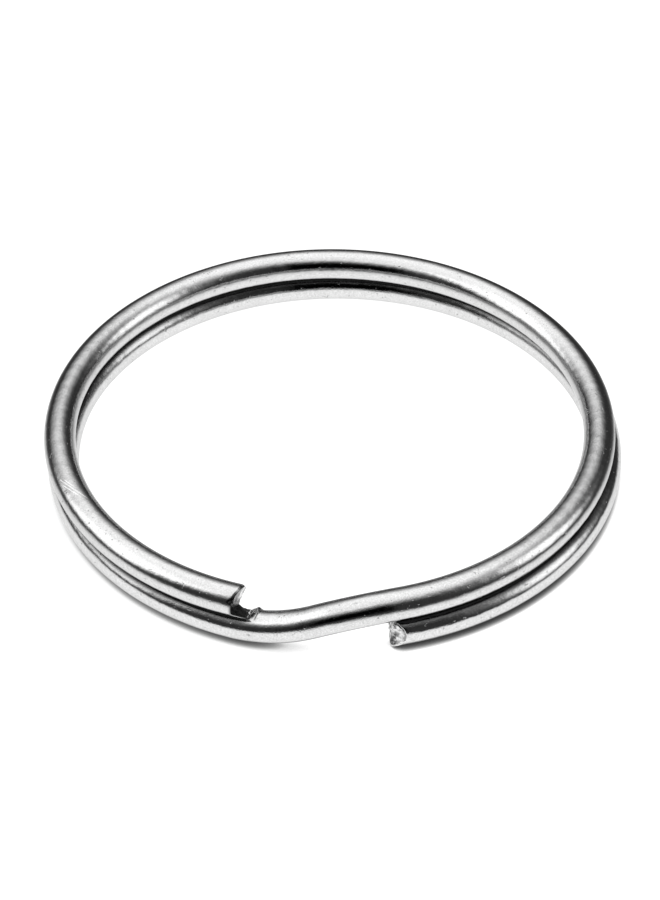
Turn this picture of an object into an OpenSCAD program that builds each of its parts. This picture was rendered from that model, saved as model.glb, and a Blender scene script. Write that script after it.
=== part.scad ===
// Split key ring: one round spring wire wound into two close coils lying flat on each other.
// At the front the wire steps from the upper coil down to the lower one, and the wire's two
// cut ends lie beside that step: the upper end over its low side, the lower end under its
// high side. Keys ride in the round opening, and go on between the coils at a cut end.
// Millimetres. +Z is up, Z = 0 is what the ring lies on, the front is -Y, and the origin is
// below the lower coil's centre. Angles run counter-clockwise from the front, seen from above.

/* [Wire] */
// Outside diameter of the lower coil
outer_d = 32; // [24:0.5:50]
// Diameter of the round wire
wire_d = 1.75; // [1:0.05:2.5]

/* [Coils] */
// Clearance between the two coils
coil_gap = 0.04; // [0.02:0.01:0.2]
// How much smaller the upper coil's radius is than the lower coil's
upper_less = 0.17; // [0:0.01:0.5]
// How far the upper coil sits off the lower coil's centre, towards the front left corner
upper_shift = 0.35; // [0:0.01:0.8]

/* [Step] */
// Angle the step takes up on each side of the front
step_half = 18; // [16:0.5:30]

/* [Upper end] */
// Angle from the front back to the face where the upper end is sheared off
upper_end_angle = 15.5; // [12:0.1:17]
// Lean of the sheared face, its top reaching further than its bottom
upper_shear_lean = 19; // [0:1:30]
// Length of the thin lip that the shear left on the underside
lip_length = 0.9; // [0:0.1:1.5]
// Height of the lip's root below the middle of the wire
lip_drop = 0.52; // [0.3:0.01:0.8]

/* [Lower end] */
// Angle from the front round to the face where the lower end is sheared off
lower_end_angle = 15.2; // [12:0.1:17]
// Distance from the middle of the lower end's face to the bevel on its outer side
bevel_off = 0.34; // [0.1:0.01:0.8]

/* [Hidden] */
$fn = 96;
wire_r = wire_d / 2;
lower_r = outer_d / 2 - wire_r;
upper_r = lower_r - upper_less;
lower_z = wire_r;
upper_z = lower_z + wire_d + coil_gap;
upper_c = [-upper_shift * sqrt(0.5), -upper_shift * sqrt(0.5), 0];
lower_c = [0, 0, 0];

// Twist stations: where the wire of each coil turns about its own tangent.
station = [45, 135, 225, 315];

// Slopes of the lip, the scar and the bevel
lip_roll = -14;
lip_fall = 0.2;
bevel_turn = 232;
bevel_rise = 11;

// Point and direction of a coil's middle line at an angle from the front.
function at(c, r, z, a) = [c[0] + r * sin(a), c[1] - r * cos(a), z];
function along(a) = [cos(a), sin(a), 0];
function unit(v) = v / norm(v);

// The step is two equal-reach arcs that meet in one tangent, each tangent to its coil.
p0 = at(lower_c, lower_r, lower_z, -step_half);
p1 = at(upper_c, upper_r, upper_z, step_half);
t0 = along(-step_half);
t1 = along(step_half);
v = p1 - p0;
vt = v * (t0 + t1);
k = 2 * (1 - t0 * t1);
reach = (sqrt(vt * vt + k * (v * v)) - vt) / k;
mid = (p0 + p1 + reach * (t0 - t1)) / 2;

// Centre, radius, sweep and frame of the arc that leaves p along t and reaches q.
function side(p, t, q) = (q - p) - ((q - p) * t) * t;
function arc_r(p, t, q) = ((q - p) * (q - p)) / (2 * norm(side(p, t, q)));
function arc_c(p, t, q) = p + arc_r(p, t, q) * unit(side(p, t, q));
function arc_a(p, t, q) = 2 * asin(norm(q - p) / (2 * arc_r(p, t, q)));

module coil_arc(c, r, z, from, to) {
    translate([c[0], c[1], z])
        rotate([0, 0, from - 90])
            rotate_extrude(angle = to - from)
                translate([r, 0]) circle(r = wire_r);
}

module lower_arc(from, to) coil_arc(lower_c, lower_r, lower_z, from, to);
module upper_arc(from, to) coil_arc(upper_c, upper_r, upper_z, from, to);

// An arc of wire in space: out of p along t, bending until it reaches q.
module bend(p, t, q) {
    n = unit(side(p, t, q));
    c = arc_c(p, t, q);
    w = cross(-n, t);
    multmatrix([
        [-n[0], t[0], w[0], c[0]],
        [-n[1], t[1], w[1], c[1]],
        [-n[2], t[2], w[2], c[2]],
        [0, 0, 0, 1]])
        rotate_extrude(angle = arc_a(p, t, q))
            translate([arc_r(p, t, q), 0]) circle(r = wire_r);
}

// Frame on a coil's middle line: X along the wire, Y towards the ring's centre, Z up.
module on_coil(c, r, z, a) {
    translate([c[0], c[1], z])
        rotate([0, 0, a])
            translate([0, -r, 0]) children();
}

// What the shear took off above the lip and past it.
module upper_shear() {
    top = wire_d;
    on_coil(upper_c, upper_r, upper_z, -upper_end_angle)
        rotate([lip_roll, 0, 0])
            rotate([90, 0, 0])
                linear_extrude(height = 4 * wire_d, center = true)
                    polygon([
                        [0, -lip_drop],
                        [(top + lip_drop) * tan(upper_shear_lean), top],
                        [3 * wire_d, top],
                        [3 * wire_d, -top],
                        [lip_length + 0.15, -top],
                        [lip_length, -lip_drop - lip_fall * lip_length]]);
}

// The scar in the step's low side, where the same blade ran on into the wire below.
module scar() {
    on_coil(lower_c, lower_r, lower_z, -12)
        rotate([lip_roll, 0, 0])
            rotate([90, 0, 0])
                linear_extrude(height = 4 * wire_d, center = true)
                    polygon([
                        [-1.6, 0.86],
                        [-1.3, 0.78],
                        [-0.25, 0.6],
                        [0.35, 1.05],
                        [0.35, 1.6],
                        [-1.6, 1.6]]);
}

// The bevel that the shear left on the outer side of the lower end.
module lower_bevel() {
    on_coil(lower_c, lower_r, lower_z, lower_end_angle)
        rotate([0, 0, bevel_turn])
            rotate([0, -bevel_rise, 0])
                translate([bevel_off, -2 * wire_d, -2 * wire_d])
                    cube([2 * wire_d, 4 * wire_d, 4 * wire_d]);
}

module lower_end() {
    color([0.80, 0.80, 0.81])
        difference() {
            lower_arc(lower_end_angle, station[0]);
            lower_bevel();
        }
}

module lower_coil_right() {
    color([0.78, 0.78, 0.79]) lower_arc(station[0], station[1]);
}

module lower_coil_back() {
    color([0.80, 0.80, 0.81]) lower_arc(station[1], station[2]);
}

module lower_coil_left() {
    color([0.78, 0.78, 0.79]) lower_arc(station[2], station[3]);
}

module lower_coil_front() {
    color([0.80, 0.80, 0.81]) lower_arc(station[3], 360 - step_half);
}

module crossover() {
    color([0.82, 0.82, 0.83])
        difference() {
            union() {
                bend(p0, t0, mid);
                bend(p1, -t1, mid);
            }
            scar();
        }
}

module upper_coil_front() {
    color([0.80, 0.80, 0.81]) upper_arc(step_half, station[0]);
}

module upper_coil_right() {
    color([0.78, 0.78, 0.79]) upper_arc(station[0], station[1]);
}

module upper_coil_back() {
    color([0.80, 0.80, 0.81]) upper_arc(station[1], station[2]);
}

module upper_coil_left() {
    color([0.78, 0.78, 0.79]) upper_arc(station[2], station[3]);
}

module upper_end() {
    color([0.80, 0.80, 0.81])
        difference() {
            upper_arc(station[3], 360 - upper_end_angle + 8);
            upper_shear();
        }
}

lower_end();
lower_coil_right();
lower_coil_back();
lower_coil_left();
lower_coil_front();
crossover();
upper_coil_front();
upper_coil_right();
upper_coil_back();
upper_coil_left();
upper_end();
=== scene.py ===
import math

import bpy
import numpy as np
from mathutils import Matrix, Vector, noise


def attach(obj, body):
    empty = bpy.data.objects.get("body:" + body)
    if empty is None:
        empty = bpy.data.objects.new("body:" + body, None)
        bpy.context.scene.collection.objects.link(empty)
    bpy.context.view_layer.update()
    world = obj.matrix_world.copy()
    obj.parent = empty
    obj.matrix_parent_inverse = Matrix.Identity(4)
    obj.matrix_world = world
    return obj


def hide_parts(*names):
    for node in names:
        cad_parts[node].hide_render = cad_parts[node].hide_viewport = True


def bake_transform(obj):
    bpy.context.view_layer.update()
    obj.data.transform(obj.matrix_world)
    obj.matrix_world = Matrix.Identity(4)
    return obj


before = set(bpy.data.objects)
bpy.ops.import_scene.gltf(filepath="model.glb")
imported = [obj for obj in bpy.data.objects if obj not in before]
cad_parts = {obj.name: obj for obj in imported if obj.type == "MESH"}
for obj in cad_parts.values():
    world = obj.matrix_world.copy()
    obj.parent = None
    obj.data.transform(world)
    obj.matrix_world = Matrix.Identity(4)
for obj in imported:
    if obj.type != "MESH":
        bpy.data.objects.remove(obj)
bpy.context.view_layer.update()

# ---------------------------------------------------------------- sizes, in metres, as in the CAD
MM = 0.001
WIRE_R = 0.875 * MM
LOWER_R = 15.125 * MM
UPPER_R = 14.955 * MM
LOWER_Z = WIRE_R
UPPER_Z = 3 * WIRE_R + 0.04 * MM
LOWER_C = np.array([0.0, 0.0, LOWER_Z])
UPPER_C = np.array([-0.35 * MM * math.sqrt(0.5), -0.35 * MM * math.sqrt(0.5), UPPER_Z])
STEP_HALF = 18.0
UPPER_END = 344.5
LOWER_END = 15.2
SIDES = 96
RING_GAP = 0.13 * MM
FINE_GAP = 0.02 * MM
CAP_LEVELS = 40
EDGE_R = 0.035 * MM
ROLL_LENGTH = 0.28 * MM
# how far an end's darkness runs onto the wire: farthest from its darkest part, the painted shade below
# the lip
DEEP_DARK_REACH = 0.3 * MM
RIM_DARK_REACH = 0.08 * MM


# ---------------------------------------------------------------- the wire's middle line
def coil_path(centre, radius):
    """Middle line of a coil: angle in degrees from the front to points and directions."""

    def path(a):
        a = np.radians(a)
        zero = np.zeros_like(a)
        out = np.stack([np.sin(a), -np.cos(a), zero], 1)
        return centre + radius * out, np.stack([np.cos(a), np.sin(a), zero], 1)

    return path


lower = coil_path(LOWER_C, LOWER_R)
upper = coil_path(UPPER_C, UPPER_R)


def arc_between(p, t, q):
    """Arc that leaves p along t and reaches q: centre, radius, two axes and sweep."""
    w = q - p
    s = w - (w @ t) * t
    r = (w @ w) / (2 * np.linalg.norm(s))
    n = s / np.linalg.norm(s)
    return p + r * n, r, -n, t, 2 * math.asin(np.linalg.norm(w) / (2 * r))


def step_path():
    """Middle line of the step: 0 at its low end to 1 at its high end."""
    (p0,), (t0,) = lower(np.array([-STEP_HALF]))
    (p1,), (t1,) = upper(np.array([STEP_HALF]))
    v, tt = p1 - p0, t0 + t1
    k = 2 * (1 - t0 @ t1)
    reach = (math.sqrt((v @ tt) ** 2 + k * (v @ v)) - v @ tt) / k
    mid = (p0 + p1 + reach * (t0 - t1)) / 2
    first, second = arc_between(p0, t0, mid), arc_between(p1, -t1, mid)

    def path(u):
        points, ways = np.zeros((len(u), 3)), np.zeros((len(u), 3))
        for (c, r, e1, e2, sweep), own, part, sign in (
            (first, u <= 0.5, 2 * u, 1.0),
            (second, u > 0.5, 2 - 2 * u, -1.0),
        ):
            a = (part * sweep)[own][:, None]
            points[own] = c + r * (np.cos(a) * e1 + np.sin(a) * e2)
            ways[own] = sign * (np.cos(a) * e2 - np.sin(a) * e1)
        return points, ways

    return path


step = step_path()


def across(ways):
    """Outward and upward directions square to the wire."""
    out = np.cross(ways, [0.0, 0.0, 1.0])
    out /= np.linalg.norm(out, axis=1)[:, None]
    return out, np.cross(out, ways)


# ---------------------------------------------------------------- meshes
def make_mesh(name, points, faces, normals, material_of, materials):
    """normals has one row per face corner."""
    mesh = bpy.data.meshes.new(name)
    mesh.from_pydata(points.tolist(), [], faces)
    for m in materials:
        mesh.materials.append(m)
    mesh.polygons.foreach_set("use_smooth", [True] * len(faces))
    mesh.polygons.foreach_set("material_index", material_of)
    mesh.update()
    mesh.normals_split_custom_set(normals)
    obj = bpy.data.objects.new(name, mesh)
    bpy.context.scene.collection.objects.link(obj)
    return obj


def patch_normals(points, quads):
    """Smooth normals of a grid patch from its own faces only."""
    quads = np.array(quads)
    a, b, c, d = (points[quads[:, i]] for i in range(4))
    face = np.cross(c - a, d - b)
    total = np.zeros_like(points)
    for i in range(4):
        np.add.at(total, quads[:, i], face)
    length = np.linalg.norm(total, axis=1)[:, None]
    return total / np.maximum(length, 1e-20)


def rows(length, fine):
    """Places of the rings along a piece, from 0 to 1, closer together in the fine stretches."""
    places, here = [], 0.0
    while here < length - RING_GAP:
        places.append(here)
        here += FINE_GAP if any(low <= here <= high for low, high in fine) else RING_GAP
    places.append(length)
    return np.array(places) / length


def length_of(path, start, stop):
    """Length of the middle line between two places on its path."""
    return np.linalg.norm(np.diff(path(np.linspace(start, stop, 400))[0], axis=0), axis=1).sum()


def arc_length(radius, angle):
    return radius * math.radians(angle)


STEP_STARTS = arc_length(LOWER_R, 360 - STEP_HALF)
STEP_ENDS = STEP_STARTS + length_of(step, 0, 1)


def wire_piece(name, path, start, stop, before, first_end=None, last_end=None, rollover=None,
               carve=None, fine=(), sides=SIDES):
    """A stretch of round wire. before is the length of wire that precedes it. first_end and
    last_end give, for each place in the cross-section, how far the sheared surface is shifted
    along the wire and how dark it is, as torn metal and as painted shade, and rollover how far
    the rim is drawn in. carve moves surface points, and says which it cut and how dark they
    are, as torn metal and as painted shade."""
    length = length_of(path, start, stop)
    per_m = (stop - start) / length
    phi = np.arange(sides) * 2 * math.pi / sides
    unit = np.stack([np.cos(phi), np.sin(phi)], 1)
    u = rows(length, fine)
    rings = len(u)
    low = np.full(sides, start, float)
    high = np.full(sides, stop, float)
    if first_end:
        low = start + per_m * first_end(unit * WIRE_R)[0]
    if last_end:
        high = stop + per_m * last_end(unit * WIRE_R)[0]
    where = low[None, :] + u[:, None] * (high - low)[None, :]
    radius = np.full((rings, sides), WIRE_R)
    torn_dark_and_shade = np.zeros((rings, sides))
    for end, gap in ((first_end, where - low), (last_end, high - where)):
        if end:
            gap = gap / per_m
            # the end's torn darkness and painted shade run a short way onto the wire, farthest below
            # the lip
            end_torn_dark_and_shade = end(unit * WIRE_R)[1]
            reach = np.where((end_torn_dark_and_shade > 0.9) & (unit[:, 0] < 0.3), DEEP_DARK_REACH, RIM_DARK_REACH)
            torn_dark_and_shade = np.maximum(torn_dark_and_shade, end_torn_dark_and_shade * np.clip(1.6 - gap / reach, 0, 1))
            drawn = np.clip(1 - gap / ROLL_LENGTH, 0, 1) ** 2
            round_off = np.clip(EDGE_R - gap, 0, EDGE_R)
            radius -= rollover(unit) * drawn + EDGE_R - np.sqrt(EDGE_R**2 - round_off**2)
    where = where.ravel()
    c, t = path(where)
    out, up = across(t)
    circle = np.tile(unit, (rings, 1))
    place = circle * radius.reshape(-1, 1)
    cut = np.zeros(rings * sides, bool)
    torn_dark_and_shade = torn_dark_and_shade.ravel()
    if carve:
        place, cut, torn_dark_and_shade = carve((where - (start + stop) / 2) / per_m, place)
    points = c + place[:, :1] * out + place[:, 1:] * up
    n = circle[:, :1] * out + circle[:, 1:] * up
    quads = []
    for i in range(rings - 1):
        for j in range(sides):
            k = (j + 1) % sides
            quads.append((i * sides + j, (i + 1) * sides + j, (i + 1) * sides + k, i * sides + k))
    table = np.array(quads)
    moved = np.abs(place - circle * WIRE_R).max(1) > 1e-9
    if moved.any():
        n = np.where(moved[:, None], patch_normals(points, quads), n)
    material_of = cut[table].all(1).astype(int).tolist()
    normals = [n[table.ravel()]]
    all_points = [points]
    torn_darks_and_shades = [torn_dark_and_shade]
    along = [np.stack([before + (where - start) / per_m, place[:, 0], place[:, 1]], 1)]
    faces = [list(q) for q in quads]
    base = rings * sides
    for end, ring, at, sign in ((first_end, 0, start, -1), (last_end, rings - 1, stop, 1)):
        if not end:
            continue
        rim = [ring * sides + j for j in range(sides)]
        shrink = 1 - (np.arange(1, CAP_LEVELS) / CAP_LEVELS)
        inner_place = (shrink[:, None, None] * place[rim][None]).reshape(-1, 2)
        inner_place = np.vstack([inner_place, [[0.0, 0.0]]])
        shift, inner_torn_dark_and_shade = end(inner_place)
        torn_darks_and_shades.append(inner_torn_dark_and_shade)
        cc, tt = path(at + per_m * shift)
        oo, uu = across(tt)
        inner = cc + inner_place[:, :1] * oo + inner_place[:, 1:] * uu
        grid = [rim]
        grid += [[base + i * sides + j for j in range(sides)] for i in range(CAP_LEVELS - 1)]
        centre = base + (CAP_LEVELS - 1) * sides
        all_points.append(inner)
        along.append(np.column_stack([before + (at - start) / per_m + shift, inner_place]))
        base += len(inner)
        cap = []
        for i in range(CAP_LEVELS - 1):
            for j in range(sides):
                k = (j + 1) % sides
                q = (grid[i][j], grid[i][k], grid[i + 1][k], grid[i + 1][j])
                cap.append(q[::-1] if sign > 0 else q)
        own = patch_normals(np.vstack(all_points), cap)
        fan = []
        for j in range(sides):
            k = (j + 1) % sides
            f = (grid[-1][j], grid[-1][k], centre)
            fan.append(f[::-1] if sign > 0 else f)
        own[centre] = own[grid[-1]].mean(0)
        own[centre] /= np.linalg.norm(own[centre])
        faces += [list(q) for q in cap] + [list(f) for f in fan]
        material_of += [1] * (len(cap) + len(fan))
        normals += [own[np.array(cap).ravel()], own[np.array(fan).ravel()]]
    materials = [nickel, sheared]
    obj = make_mesh(name, np.vstack(all_points), faces, np.vstack(normals), material_of, materials)
    laid = obj.data.attributes.new("along_wire", "FLOAT_VECTOR", "POINT")
    laid.data.foreach_set("vector", (np.vstack(along) / MM).ravel())
    dark = obj.data.attributes.new("torn_dark_and_shade", "FLOAT", "POINT")
    dark.data.foreach_set("value", np.concatenate(torn_darks_and_shades))
    return obj


# ---------------------------------------------------------------- materials
class Maths:
    """Small helper for node arithmetic."""

    def __init__(self, tree):
        self.tree = tree

    def put(self, socket, value):
        if isinstance(value, (int, float)):
            socket.default_value = value
        else:
            self.tree.links.new(value, socket)

    def op(self, name, *values, clamp=False):
        n = self.tree.nodes.new("ShaderNodeMath")
        n.operation = name
        n.use_clamp = clamp
        for i, v in enumerate(values):
            self.put(n.inputs[i], v)
        return n.outputs[0]

    def ramp(self, value, a, b, to_a=0.0, to_b=1.0):
        n = self.tree.nodes.new("ShaderNodeMapRange")
        n.interpolation_type = "SMOOTHSTEP"
        for i, v in enumerate((value, a, b, to_a, to_b)):
            self.put(n.inputs[i], v)
        return n.outputs[0]

    def mix(self, a, b, t):
        return self.op("ADD", a, self.op("MULTIPLY", self.op("SUBTRACT", b, a), t))

    def parts(self, vector):
        n = self.tree.nodes.new("ShaderNodeSeparateXYZ")
        self.tree.links.new(vector, n.inputs[0])
        return n.outputs

    def join(self, x, y, z):
        n = self.tree.nodes.new("ShaderNodeCombineXYZ")
        for i, v in enumerate((x, y, z)):
            self.put(n.inputs[i], v)
        return n.outputs[0]

    def noise(self, vector, scale, detail=2.0, rough=0.5):
        n = self.tree.nodes.new("ShaderNodeTexNoise")
        self.tree.links.new(vector, n.inputs["Vector"])
        n.inputs["Scale"].default_value = scale
        n.inputs["Detail"].default_value = detail
        n.inputs["Roughness"].default_value = rough
        return n.outputs[0]

    def openness(self, distance, samples=8):
        """1 on open surface, falling to 0 deep in a crevice."""
        n = self.tree.nodes.new("ShaderNodeAmbientOcclusion")
        n.samples = samples
        n.inputs["Distance"].default_value = distance
        return n.outputs["AO"]

    def grey(self, value):
        return self.join(value, value, value)

    def bump(self, height, distance, normal=None):
        n = self.tree.nodes.new("ShaderNodeBump")
        n.inputs["Distance"].default_value = distance
        self.tree.links.new(height, n.inputs["Height"])
        if normal:
            self.tree.links.new(normal, n.inputs["Normal"])
        return n.outputs[0]


def nodes_of(material):
    material.use_nodes = True
    tree = material.node_tree
    return tree, tree.nodes, tree.links


def wire_place(nodes):
    """Millimetres along the wire, outward and upward from its middle."""
    n = nodes.new("ShaderNodeAttribute")
    n.attribute_name = "along_wire"
    return n.outputs["Vector"]


def torn_dark_and_shade_of(nodes):
    """1 where torn metal is dark and where shade is painted on the lip, the notch floor and the wire
    by the cut ends, 0 elsewhere.
    """
    n = nodes.new("ShaderNodeAttribute")
    n.attribute_name = "torn_dark_and_shade"
    return n.outputs["Fac"]


def scratches(k, s, a, b):
    """Three fine scratches across the upper coil's left front, as one mask."""
    start = (STEP_ENDS + arc_length(UPPER_R, 292.9 - STEP_HALF)) / MM
    along = k.op("SUBTRACT", s, start)
    round_it = k.op("SUBTRACT", k.op("MULTIPLY", k.op("ARCTAN2", b, a), WIRE_R / MM), 0.74)
    lean = math.radians(20)
    far = k.op("ADD", k.op("MULTIPLY", along, math.cos(lean)),
               k.op("MULTIPLY", round_it, math.sin(lean)))
    off = k.op("SUBTRACT", k.op("MULTIPLY", round_it, math.cos(lean)),
               k.op("MULTIPLY", along, math.sin(lean)))
    mask = 0.0
    for aside, first, last in ((0.0, 0.0, 2.7), (0.13, 0.25, 1.5), (-0.16, 0.5, 2.2)):
        line = k.ramp(k.op("ABSOLUTE", k.op("SUBTRACT", off, aside)), 0.045, 0.012)
        line = k.op("MULTIPLY", line, k.ramp(far, first, first + 0.2))
        line = k.op("MULTIPLY", line, k.ramp(far, last, last - 0.5))
        mask = k.op("MAXIMUM", mask, line)
    return mask


def make_nickel():
    """Bright nickel plate over drawn wire: fine grain, faint drawing lines, pits and matt
    patches, with painted shade where the coils and the floor close in on it, along the step's
    outer underside, and torn darkness with painted shade by the sheared ends."""
    m = bpy.data.materials.new("bright_nickel")
    tree, nodes, links = nodes_of(m)
    bsdf = nodes["Principled BSDF"]
    k = Maths(tree)
    place = wire_place(nodes)
    s, a, b = k.parts(place)
    drawn = k.join(k.op("MULTIPLY", s, 0.25), a, b)
    grain = k.noise(place, 11.0, 3.0, 0.62)
    lines = k.noise(drawn, 7.0, 2.0, 0.5)
    patches = k.noise(place, 0.9, 3.0, 0.55)
    pits = k.ramp(k.noise(place, 4.2, 2.0, 0.6), 0.66, 0.74)
    nicks = k.ramp(k.noise(drawn, 3.0, 1.0, 0.5), 0.76, 0.82)
    marks = k.op("MAXIMUM", pits, k.op("MULTIPLY", nicks, 0.7))
    # painted shade: the colour darkens by occlusion where the coils and the floor close in, more
    # sharply on the wire's top side
    near = k.openness(0.8 * MM)
    top_side = k.ramp(b, 0.05, 0.35)
    unshaded_share = k.mix(k.ramp(near, 0.02, 0.24), k.ramp(near, 0.56, 0.98), top_side)
    base = k.mix(0.42, 0.80, grain)
    scratch = scratches(k, s, a, b)
    base = k.op("MULTIPLY", base, k.mix(0.92, 1.06, patches))
    base = k.op("MULTIPLY", base, k.mix(1.0, 0.62, marks))
    base = k.mix(base, 0.95, scratch)
    base = k.op("MULTIPLY", base, k.mix(0.02, 1.0, unshaded_share))
    # painted shade: the step's outer underside is darkened, standing in for the shaded floor it would
    # mirror
    under_step = k.op("MULTIPLY", k.ramp(s, STEP_STARTS / MM + 1, STEP_STARTS / MM + 4),
                      k.ramp(s, STEP_ENDS / MM + 1, STEP_ENDS / MM - 2))
    low_outside = k.op("MULTIPLY", k.ramp(b, -0.36, -0.56), k.ramp(a, 0.1, 0.4))
    base = k.op("MULTIPLY", base, k.mix(1.0, 0.22, k.op("MULTIPLY", under_step, low_outside)))
    # torn darkness and painted shade by the sheared ends
    base = k.op("MULTIPLY", base, k.mix(1.0, 0.10, torn_dark_and_shade_of(nodes)))
    links.new(k.grey(base), bsdf.inputs["Base Color"])
    bsdf.inputs["Metallic"].default_value = 1.0
    bsdf.inputs["Specular Tint"].default_value = (0.74, 0.74, 0.74, 1.0)
    rough = k.op("ADD", k.mix(0.06, 0.16, patches), k.op("MULTIPLY", marks, 0.2))
    rough = k.op("ADD", rough, k.op("MULTIPLY", scratch, 0.3))
    links.new(rough, bsdf.inputs["Roughness"])
    height = k.op("ADD", grain, k.op("MULTIPLY", lines, 0.5))
    height = k.op("SUBTRACT", height, k.op("MULTIPLY", marks, 1.2))
    waves = k.bump(k.noise(place, 1.5, 1.0, 0.5), 0.02 * MM)
    links.new(k.bump(height, 0.005 * MM, waves), bsdf.inputs["Normal"])
    return m


def make_sheared():
    """Torn steel of a sheared face: matt, coarse and mottled, with painted shade where other wire
    closes in on it and on the lip and the notch floor.
    """
    m = bpy.data.materials.new("sheared_steel")
    tree, nodes, links = nodes_of(m)
    bsdf = nodes["Principled BSDF"]
    k = Maths(tree)
    place = wire_place(nodes)
    coarse = k.noise(place, 3.4, 3.0, 0.6)
    fine = k.noise(place, 12.0, 2.0, 0.6)
    # painted shade: the torn face darkens by occlusion where other wire closes in
    unshaded_share = k.ramp(k.openness(0.7 * MM), 0.1, 0.6)
    base = k.mix(0.25, 0.85, k.ramp(coarse, 0.32, 0.66))
    base = k.op("MULTIPLY", base, k.mix(0.75, 1.15, fine))
    base = k.op("MULTIPLY", base, k.mix(0.12, 1.0, unshaded_share))
    # painted shade on the lip and the notch floor, with torn darkness
    base = k.op("MULTIPLY", base, k.mix(1.0, 0.04, torn_dark_and_shade_of(nodes)))
    links.new(k.grey(base), bsdf.inputs["Base Color"])
    bsdf.inputs["Metallic"].default_value = 1.0
    links.new(k.mix(0.22, 0.42, fine), bsdf.inputs["Roughness"])
    height = k.op("ADD", coarse, k.op("MULTIPLY", fine, 0.3))
    links.new(k.bump(height, 0.03 * MM), bsdf.inputs["Normal"])
    return m


nickel = make_nickel()
sheared = make_sheared()


# ---------------------------------------------------------------- the sheared ends
def torn(place, size, depth, seed):
    """Roughness of torn metal, for places in millimetres."""
    spots = [Vector((x / size, y / size, seed)) for x, y in place]
    return depth * np.array([noise.fractal(spot, 1.0, 2.2, 3) for spot in spots])


def upper_shear(place):
    """Leaning face, then the lip below it, longest on its outer side."""
    a, b = (place / MM).T
    roll = math.radians(14)
    h = math.cos(roll) * b - math.sin(roll) * a
    face = 0.034 + 0.2935 * b - 0.2066 * a + torn(place / MM, 0.5, 0.03, 1.7)
    lip = np.clip((-0.60 - h) / 0.16, 0, 1) * (0.60 + 0.36 * a + torn(place / MM, 0.4, 0.05, 5.1))
    inner_low = np.clip((-0.77 * a - 0.64 * b) / 0.15, 0, 1)
    burnished = inner_low * np.clip((0.77 * b - 0.64 * a + 0.05) / 0.2, 0, 1)
    # painted shade: the lip is made dark as it lies in shade below the face; the face's darkness is
    # torn metal and painted shade together, the burnished part left bright
    torn_dark_and_shade = np.where(lip > face, 0.93, 0.72 * (1 - burnished))
    return np.maximum(face, lip) * MM, torn_dark_and_shade


def lower_shear(place):
    """Square face, then the bevel on its outer side."""
    a, b = (place / MM).T
    face = 0.10 * b - 0.09 * a
    bevel = -0.5625 + 1.28 * a + 0.316 * b
    both = np.maximum(face, bevel) + 0.10 * np.exp(-np.abs(face - bevel) / 0.12) - 0.05
    # the face darkens in torn spots, which fade onto the bevel, and in a round patch low on its outer
    # side
    spots = np.clip(0.5 + torn(place / MM, 0.16, 1.3, 4.4), 0, 1)
    low_dark_patch = np.exp(-((a - 0.30) ** 2 + (b + 0.36) ** 2) / 0.07)
    torn_dark_and_shade = np.clip(0.9 * spots * np.clip(1.1 - (bevel - face) / 0.45, 0, 1) + low_dark_patch, 0, 0.95)
    torn_dark_and_shade = torn_dark_and_shade * np.clip((0.80 - np.hypot(a, b)) / 0.05, 0, 1)
    return (both + torn(place / MM, 0.42, 0.07, 9.3)) * MM, torn_dark_and_shade


def upper_rollover(unit):
    """The blade drew the top of the upper end in."""
    return np.clip(unit[:, 1] * 0.97 - unit[:, 0] * 0.24 + 0.5, 0, 1) * 0.05 * MM


def lower_rollover(unit):
    return np.full(len(unit), 0.012 * MM)


def scar(along, place):
    """Where the blade ran on into the step's low side: a floor, a torn wall and a raised burr."""
    s = along / MM
    a, b = (place / MM).T
    top = b > 0
    crest = -2.98 - 0.28 * np.maximum(0, a)
    burr = 0.24 * np.exp(-(((s - crest) / np.where(s > crest, 0.10, 0.38)) ** 2))
    burr = burr * np.exp(-(((a + 0.30) / 0.36) ** 2))
    raised = b + np.where(top, burr, 0)
    near = top & (s < -2.4)
    rough = np.zeros_like(s)
    rough[near] = torn(np.stack([s[near], a[near]], 1), 0.22, 0.09, 3.3)
    wall = 0.40 + np.maximum(0, s + 3.66) * 0.92 + np.maximum(0, a - 0.18) * 1.1 + rough
    behind = np.maximum(0, -3.95 - s) * 0.5 + np.clip(-3.6 - s, 0, 0.15) * 10 * np.maximum(0, a + 0.02)
    wall = wall + behind
    cut = near & (wall < raised) & (s < crest)
    raised = np.where(cut, wall, raised)
    # painted shade: the notch floor below the burr is made dark as it lies in shade; spots mottle the
    # torn wall
    torn_dark_and_shade = np.where(cut & (s < -3.72), 0.9, 0.0)
    spots = np.clip(torn(np.stack([s[near], a[near]], 1), 0.12, 1.6, 7.7) - 0.1, 0, 0.8)
    torn_dark_and_shade[near] = np.maximum(torn_dark_and_shade[near], np.where(cut[near], spots, 0))
    # painted shadow: a dark line just past the burr's crest
    rim = np.exp(-(((s - crest - 0.05) / 0.045) ** 2)) * np.clip((0.5 - np.abs(a + 0.05)) / 0.1, 0, 1)
    torn_dark_and_shade = np.maximum(torn_dark_and_shade, np.where(near, 0.9 * rim, 0))
    return np.stack([a, raised], 1) * MM, cut, torn_dark_and_shade


# ---------------------------------------------------------------- the pieces
def on(path, angle):
    (p,), _ = path(np.array([float(angle)]))
    return p


def twist(obj, path, a, b, angle, *nodes, reach=38):
    """Bakes obj's transform into its mesh and hides the CAD parts named in nodes; the points
    at angle ± reach are worked out and dropped. a and b are not used.
    """
    on(path, angle - reach)
    on(path, angle + reach)
    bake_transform(obj)
    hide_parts(*nodes)


def lower_piece(name, start, stop, **how):
    return wire_piece(name, lower, start, stop, arc_length(LOWER_R, start), **how)


def upper_piece(name, start, stop, **how):
    before = STEP_ENDS + arc_length(UPPER_R, start - STEP_HALF)
    return wire_piece(name, upper, start, stop, before, **how)


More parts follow.
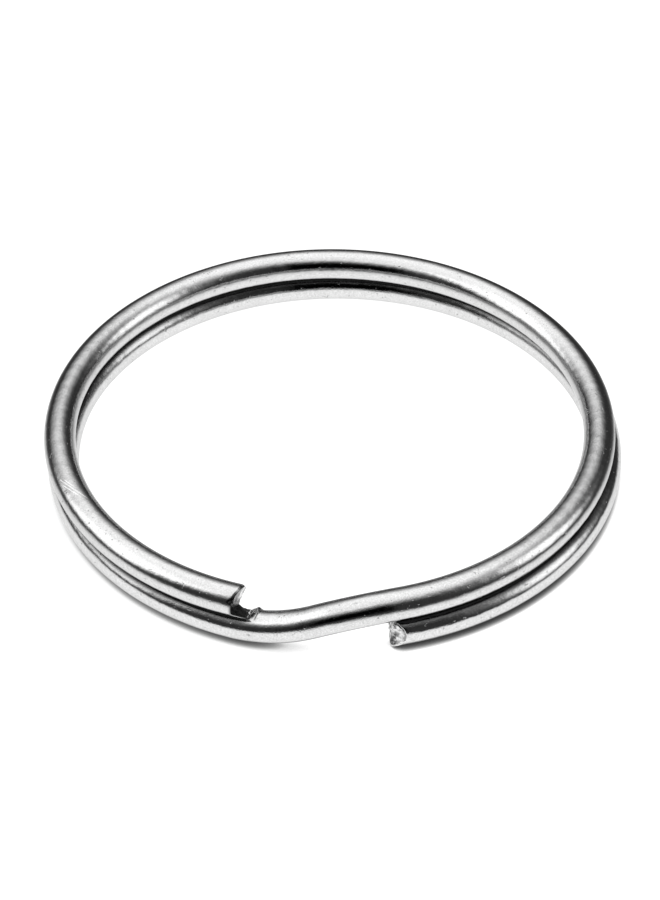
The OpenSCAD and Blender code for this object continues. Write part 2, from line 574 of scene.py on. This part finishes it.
end_fine = ((0, 0.45 * MM),)
piece = lower_piece("lower_end_wire", LOWER_END, 90, first_end=lower_shear, rollover=lower_rollover,
                    fine=end_fine, sides=144)
twist(piece, lower, "lower_end", "lower_right", 45, "lower_end", "lower_coil_right", reach=28)
piece = lower_piece("lower_right_wire", 90, 180)
twist(piece, lower, "lower_right", "lower_back", 135, "lower_coil_right", "lower_coil_back")
piece = lower_piece("lower_back_wire", 180, 270)
twist(piece, lower, "lower_back", "lower_left", 225, "lower_coil_back", "lower_coil_left")
piece = lower_piece("lower_front_wire", 270, 360 - STEP_HALF)
twist(piece, lower, "lower_left", "step", 315, "lower_coil_left", "lower_coil_front", reach=26)
piece = wire_piece("step_wire", step, 0, 1, STEP_STARTS, carve=scar,
                   fine=((0.2 * MM, 2.6 * MM),), sides=192)
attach(piece, "step")
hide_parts("crossover")
piece = upper_piece("upper_front_wire", STEP_HALF, 90)
twist(piece, upper, "step", "upper_right", 45, "upper_coil_front", "upper_coil_right", reach=26)
piece = upper_piece("upper_right_wire", 90, 180)
twist(piece, upper, "upper_right", "upper_back", 135, "upper_coil_right", "upper_coil_back")
piece = upper_piece("upper_back_wire", 180, 270)
twist(piece, upper, "upper_back", "upper_left", 225, "upper_coil_back", "upper_coil_left")
end_at = length_of(upper, 270, UPPER_END)
piece = upper_piece("upper_end_wire", 270, UPPER_END, last_end=upper_shear, rollover=upper_rollover,
                    fine=((end_at - 0.45 * MM, end_at),), sides=144)
twist(piece, upper, "upper_left", "upper_end", 315, "upper_coil_left", "upper_end", reach=28)


# ---------------------------------------------------------------- studio
def make_world():
    world = bpy.data.worlds.new("studio")
    bpy.context.scene.world = world
    world.use_nodes = True
    tree = world.node_tree
    nodes, links = tree.nodes, tree.links
    nodes.clear()
    k = Maths(tree)
    coord = nodes.new("ShaderNodeTexCoord")
    turn = nodes.new("ShaderNodeVectorRotate")
    turn.rotation_type = "Z_AXIS"
    turn.inputs["Angle"].default_value = math.radians(-4)
    links.new(coord.outputs["Generated"], turn.inputs["Vector"])
    split = nodes.new("ShaderNodeSeparateXYZ")
    links.new(turn.outputs[0], split.inputs[0])
    x, y, z = split.outputs
    degree = 180 / math.pi
    el = k.op("MULTIPLY", k.op("ARCSINE", z), degree)
    az = k.op("MULTIPLY", k.op("ARCTAN2", x, k.op("MULTIPLY", y, -1.0)), degree)
    ahead = k.op("COSINE", k.op("DIVIDE", az, degree))
    right = k.op("SINE", k.op("DIVIDE", az, degree))

    # walls: dim, a little lighter at the left back
    left_back = k.op("MAXIMUM", k.ramp(az, -108, -138), k.ramp(az, 156, 180))
    left_back = k.op("MULTIPLY", left_back, k.ramp(el, 4, 20))
    light = k.mix(0.20, 0.36, left_back)
    # black panel behind the camera
    panel = k.op("MULTIPLY", k.ramp(az, 22, 15), k.ramp(az, -38, -27))
    light = k.mix(light, 0.01, k.op("MULTIPLY", panel, k.ramp(el, 1, 15)))

    def spot(light, at_az, at_el, wide, tall, value):
        u = k.op("DIVIDE", k.op("SUBTRACT", az, at_az), wide)
        w = k.op("DIVIDE", k.op("SUBTRACT", el, at_el), tall)
        d = k.op("ADD", k.op("MULTIPLY", u, u), k.op("MULTIPLY", w, w))
        return k.mix(light, value, k.ramp(d, 1.5, 0.0))

    # spill of the right softbox
    light = spot(light, 86, 34, 38, 40, 0.50)
    # overhead diffuser: comes down lowest at the left back
    middle = k.op("ADD", k.op("MULTIPLY", ahead, 9), k.op("MULTIPLY", right, 11))
    middle = k.op("ADD", middle, 43)
    top = k.ramp(el, k.op("SUBTRACT", middle, 23), k.op("ADD", middle, 23))
    light = k.mix(light, k.op("SUBTRACT", 0.955, k.op("MULTIPLY", ahead, 0.035)), top)
    # left softbox, its right edge slanting
    slant = k.op("SUBTRACT", az, k.op("MULTIPLY", el, 0.45))
    box = k.op("MULTIPLY", k.ramp(az, -134, -108), k.ramp(slant, -66, -88))
    box = k.op("MULTIPLY", box, k.op("MULTIPLY", k.ramp(el, -3, 17), k.ramp(el, 66, 50)))
    light = k.mix(light, 1.06, box)
    # right softbox
    light = spot(light, 87, 25, 22, 24, 1.07)
    seen = k.op("DIVIDE", k.op("POWER", light, 2.2), 0.52)
    path = nodes.new("ShaderNodeLightPath")
    shine = k.mix(seen, 0.9, path.outputs["Is Diffuse Ray"])
    back = nodes.new("ShaderNodeBackground")
    links.new(shine, back.inputs["Strength"])
    outw = nodes.new("ShaderNodeOutputWorld")
    links.new(back.outputs[0], outw.inputs[0])


make_world()


def make_paper():
    """A white sheet, with the narrow shade that the ring throws beside its outer edge. In the
    wire's own reflections it gets dimmer with distance, and dimmer still inside the ring's near
    side, and the gap below the wire is darker there than straight from the camera."""
    m = bpy.data.materials.new("paper")
    tree, nodes, links = nodes_of(m)
    nodes.clear()
    k = Maths(tree)
    x, y, z = k.parts(nodes.new("ShaderNodeNewGeometry").outputs["Position"])
    radius = k.op("SQRT", k.op("ADD", k.op("MULTIPLY", x, x), k.op("MULTIPLY", y, y)))
    path = nodes.new("ShaderNodeLightPath")
    mirrored = k.op("SUBTRACT", 1.0, path.outputs["Is Camera Ray"])
    outside = k.op("ADD", k.ramp(y, 18 * MM, -18 * MM, 5 * MM, 14 * MM),
                   k.ramp(x, -18 * MM, 18 * MM, 2 * MM, MM))
    half = k.mix(12 * MM, outside, k.ramp(radius, 14.5 * MM, 17 * MM))
    way = k.op("DIVIDE", path.outputs["Ray Length"], half)
    fade = k.op("DIVIDE", 0.77, k.op("ADD", 1.0, k.op("POWER", way, 3.0)))
    dim = k.op("ADD", 0.28, fade)
    hidden = k.op("MULTIPLY", k.ramp(radius, 14.8 * MM, 14.2 * MM), k.ramp(y, -1 * MM, -7 * MM))
    hidden = k.op("MULTIPLY", hidden, k.ramp(path.outputs["Ray Length"], 4 * MM, 9 * MM))
    dim = k.op("MULTIPLY", dim, k.mix(1.0, 0.4, hidden))
    pool = k.op("POWER", k.mix(1.0, dim, mirrored), 2.2)
    lit = nodes.new("ShaderNodeAmbientOcclusion")
    lit.samples = 24
    lit.inputs["Distance"].default_value = 0.60 * MM
    links.new(k.join(-0.42, 0.45, 0.79), lit.inputs["Normal"])
    inside = k.ramp(radius, 15.3 * MM, 14.6 * MM)
    shade = k.mix(lit.outputs["AO"], 1.0, inside)
    bright = k.op("MINIMUM", k.op("MULTIPLY", k.op("POWER", shade, 1.8), 3.4), 1.2)
    under = nodes.new("ShaderNodeAmbientOcclusion")
    under.samples = 12
    under.inputs["Distance"].default_value = 2.6 * MM
    mirror_shade = k.mix(0.06, 1.0, k.ramp(under.outputs["AO"], 0.13, 0.52))
    wide_shade = k.mix(0.46, 1.0, k.ramp(under.outputs["AO"], 0.28, 0.60))
    below = k.mix(k.mix(wide_shade, mirror_shade, mirrored), 1.0, inside)
    bright = k.op("MULTIPLY", bright, below)
    glow = nodes.new("ShaderNodeEmission")
    links.new(k.op("MULTIPLY", bright, pool), glow.inputs["Strength"])
    out = nodes.new("ShaderNodeOutputMaterial")
    links.new(glow.outputs[0], out.inputs[0])
    return m


bpy.ops.mesh.primitive_plane_add(size=2.0, location=(0, 0, 0))
floor = bpy.context.object
floor.name = "floor"
floor.data.materials.append(make_paper())

# ---------------------------------------------------------------- camera
elevation, turned, roll = math.radians(40.415), math.radians(4.0), math.radians(-0.552)
back = Vector((0, -math.cos(elevation), math.sin(elevation)))
side = Vector((1, 0, 0))
upward = back.cross(side)
side, upward = (
    math.cos(roll) * side + math.sin(roll) * upward,
    math.cos(roll) * upward - math.sin(roll) * side,
)
axes = Matrix((side, upward, back)).transposed().to_4x4()
spot = Matrix.Translation((UPPER_C[0], UPPER_C[1], 0)) @ Matrix.Rotation(turned, 4, "Z")
camera = bpy.data.cameras.new("camera")
camera.sensor_width = 36.0
camera.lens = 133.69
camera.shift_x = 0.0001
camera.shift_y = 0.01434
camera.clip_start = 0.01
eye = bpy.data.objects.new("camera", camera)
eye.matrix_world = spot @ Matrix.Translation(back * 0.18729) @ axes
bpy.context.scene.collection.objects.link(eye)
bpy.context.scene.camera = eye

look = bpy.context.scene
look.view_settings.view_transform = "Standard"
look.cycles.caustics_reflective = False
look.cycles.caustics_refractive = False
